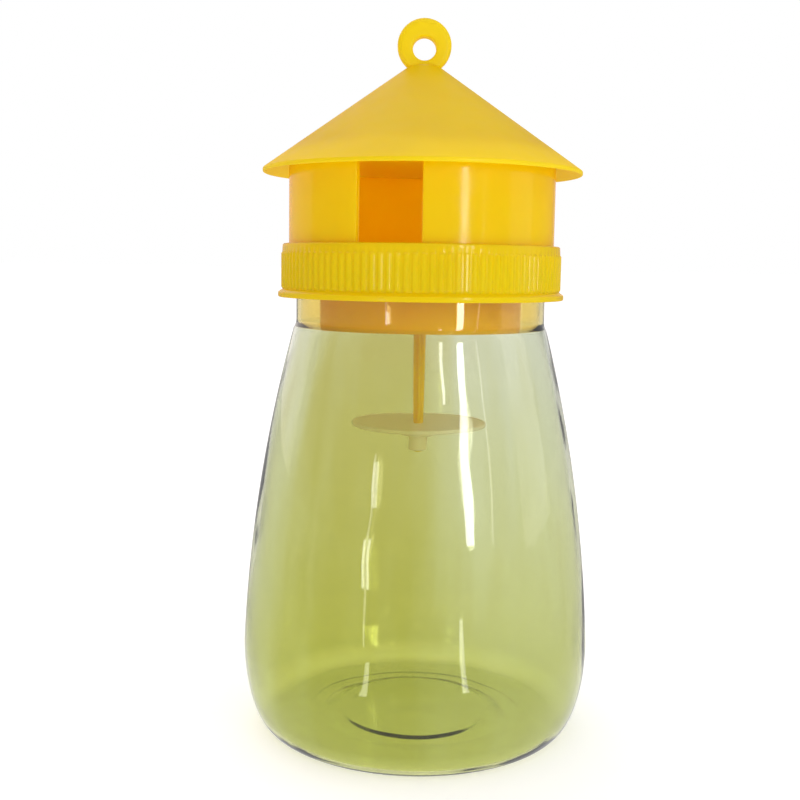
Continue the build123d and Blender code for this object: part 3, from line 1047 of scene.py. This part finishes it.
def softbox(name, azimuth, height, distance, width, tall, radiance, aim_z):
    """Area light at an azimuth from the front, towards +X, aimed at a height on the trap's axis."""
    data = bpy.data.lights.new(name, "AREA")
    data.shape = "RECTANGLE"
    data.size = width * MM
    data.size_y = tall * MM
    data.energy = radiance * pi * data.size * data.size_y
    light = bpy.data.objects.new(name, data)
    turn = radians(azimuth)
    light.location = Vector((sin(turn) * distance, -cos(turn) * distance, height)) * MM
    aim = Vector((0.0, 0.0, aim_z)) * MM
    light.rotation_mode = "QUATERNION"
    light.rotation_quaternion = (aim - light.location).to_track_quat("-Z", "Y")
    light.visible_camera = False
    bpy.context.scene.collection.objects.link(light)
    return light


def floor_strip(name, azimuth, near, far, width, radiance):
    """Narrow light lying on the floor in front of the trap, which glints low in the bottle."""
    height = 1.0
    light = softbox(name, azimuth, height, (near + far) / 2, width, far - near, radiance, height)
    facing_up = Matrix.Rotation(pi, 3, "X").to_quaternion()
    light.rotation_quaternion = Matrix.Rotation(radians(azimuth), 3, "Z").to_quaternion() @ facing_up


def make_lights():
    """Strips and cards whose reflections draw the glints on the trap."""
    softbox(
        "main_strip", azimuth=34.0, height=255.0, distance=800.0,
        width=80.0, tall=380.0, radiance=12.0, aim_z=255.0,
    )
    softbox(
        "thin_strip", azimuth=51.0, height=330.0, distance=800.0,
        width=16.0, tall=560.0, radiance=2.5, aim_z=330.0,
    )
    softbox(
        "high_strip", azimuth=18.0, height=400.0, distance=800.0,
        width=34.0, tall=150.0, radiance=8.0, aim_z=400.0,
    )
    softbox(
        "right_card", azimuth=90.0, height=350.0, distance=800.0,
        width=420.0, tall=700.0, radiance=0.6, aim_z=120.0,
    )
    softbox(
        "left_thread", azimuth=-29.5, height=56.0, distance=200.0,
        width=4.0, tall=104.0, radiance=3.0, aim_z=56.0,
    )
    softbox(
        "left_glow_high", azimuth=-28.5, height=92.0, distance=200.0,
        width=12.0, tall=22.0, radiance=6.0, aim_z=92.0,
    )
    softbox(
        "left_glow_middle", azimuth=-29.5, height=49.0, distance=200.0,
        width=14.0, tall=26.0, radiance=7.0, aim_z=49.0,
    )
    floor_strip("right_glint", azimuth=26.0, near=120.0, far=330.0, width=8.0, radiance=5.0)
    floor_strip("left_glint", azimuth=-26.0, near=100.0, far=170.0, width=7.0, radiance=4.0)


def make_camera():
    """Camera in front of the trap and a little above its middle, looking slightly down."""
    data = bpy.data.cameras.new("camera")
    data.lens = CAMERA_LENS
    data.sensor_width = 36.0
    data.clip_start = 0.01
    data.clip_end = 100.0
    camera = bpy.data.objects.new("camera", data)
    bpy.context.scene.collection.objects.link(camera)
    level = Matrix.Rotation(radians(90 - CAMERA_PITCH), 4, "X")
    roll = Matrix.Rotation(radians(CAMERA_ROLL), 4, "Z")
    camera.matrix_world = Matrix.Translation(Vector(CAMERA_AT) * MM) @ level @ roll
    bpy.context.scene.camera = camera


# ---------------------------------------------------------------- scene

# Each piece: what makes it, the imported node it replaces, its body, its slot and its look
PIECES = [
    (make_bottle, "bottle", "bottle", "clear_bottle", "clear_bottle"),
    (make_cap, "cap_body", "cap", "yellow_plastic", "yellow_plastic"),
    (make_roof, "roof", "roof", "yellow_plastic", "satin_plastic"),
    # The insert's look is the cap's yellow with painted shade, more orange.
    (make_funnel, "funnel_insert", "insert", "yellow_plastic", "shaded_yellow_plastic"),
    (make_bridge, "rod_bridge", "insert", "yellow_plastic", "yellow_plastic"),
    (make_rod, "lure_rod", "insert", "yellow_plastic", "yellow_plastic"),
    (make_disc, "lure_disc", "disc", "milky_plastic", "milky_plastic"),
    (make_clip, "disc_clip", "insert", "milky_plastic", "milky_plastic"),
]

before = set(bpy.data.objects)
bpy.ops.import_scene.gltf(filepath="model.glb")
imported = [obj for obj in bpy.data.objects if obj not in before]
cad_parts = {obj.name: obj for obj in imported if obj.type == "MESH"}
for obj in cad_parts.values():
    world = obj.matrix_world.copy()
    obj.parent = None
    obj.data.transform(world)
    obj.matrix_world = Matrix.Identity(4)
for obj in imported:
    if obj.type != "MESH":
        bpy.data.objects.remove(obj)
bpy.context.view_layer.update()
materials = {
    "clear_bottle": clear_bottle(),
    "yellow_plastic": yellow_plastic(),
    "satin_plastic": satin_plastic(),
    "shaded_yellow_plastic": shaded_yellow_plastic(),
    "milky_plastic": milky_plastic(),
}
for make, node, body, slot, look in PIECES:
    piece = make()
    piece.data.materials.clear()
    piece.data.materials.append(materials[look])
    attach(piece, body)
    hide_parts(node)
make_floor()
make_world()
make_lights()
make_camera()
bpy.context.scene.view_settings.view_transform = "Standard"
bpy.context.scene.cycles.max_bounces = 24
bpy.context.scene.cycles.diffuse_bounces = 12
bpy.context.scene.cycles.transmission_bounces = 24
bpy.context.view_layer.update()
